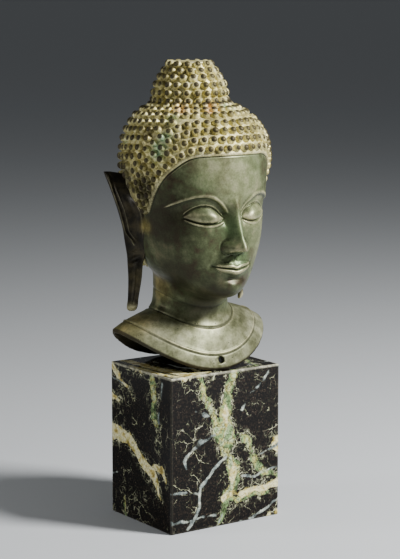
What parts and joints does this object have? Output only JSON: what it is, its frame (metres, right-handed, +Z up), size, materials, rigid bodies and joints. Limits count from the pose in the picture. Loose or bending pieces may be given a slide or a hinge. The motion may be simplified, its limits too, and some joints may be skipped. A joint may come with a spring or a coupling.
{
  "type": "bronze buddha head on plinth",
  "caption": "Hollow cast bronze Buddha head with a curled cap of hair, cut crown, long ear lobes and flared collar, on a square-edged marble block.",
  "frame": {"origin": "centre of the plinth's underside", "axes": "+Z up, the face looks along -Y, +X to the figure's left"},
  "size_m": [0.1628, 0.1573, 0.44],
  "materials": {
    "patinated_bronze": "cast bronze with an olive, ochre and green patina, softly worn",
    "veined_marble": "polished dark marble with cream and green veins"
  },
  "bodies": {
    "root": {"bronze_head": "patinated_bronze", "marble_plinth": "veined_marble"}
  },
  "joints": []
}
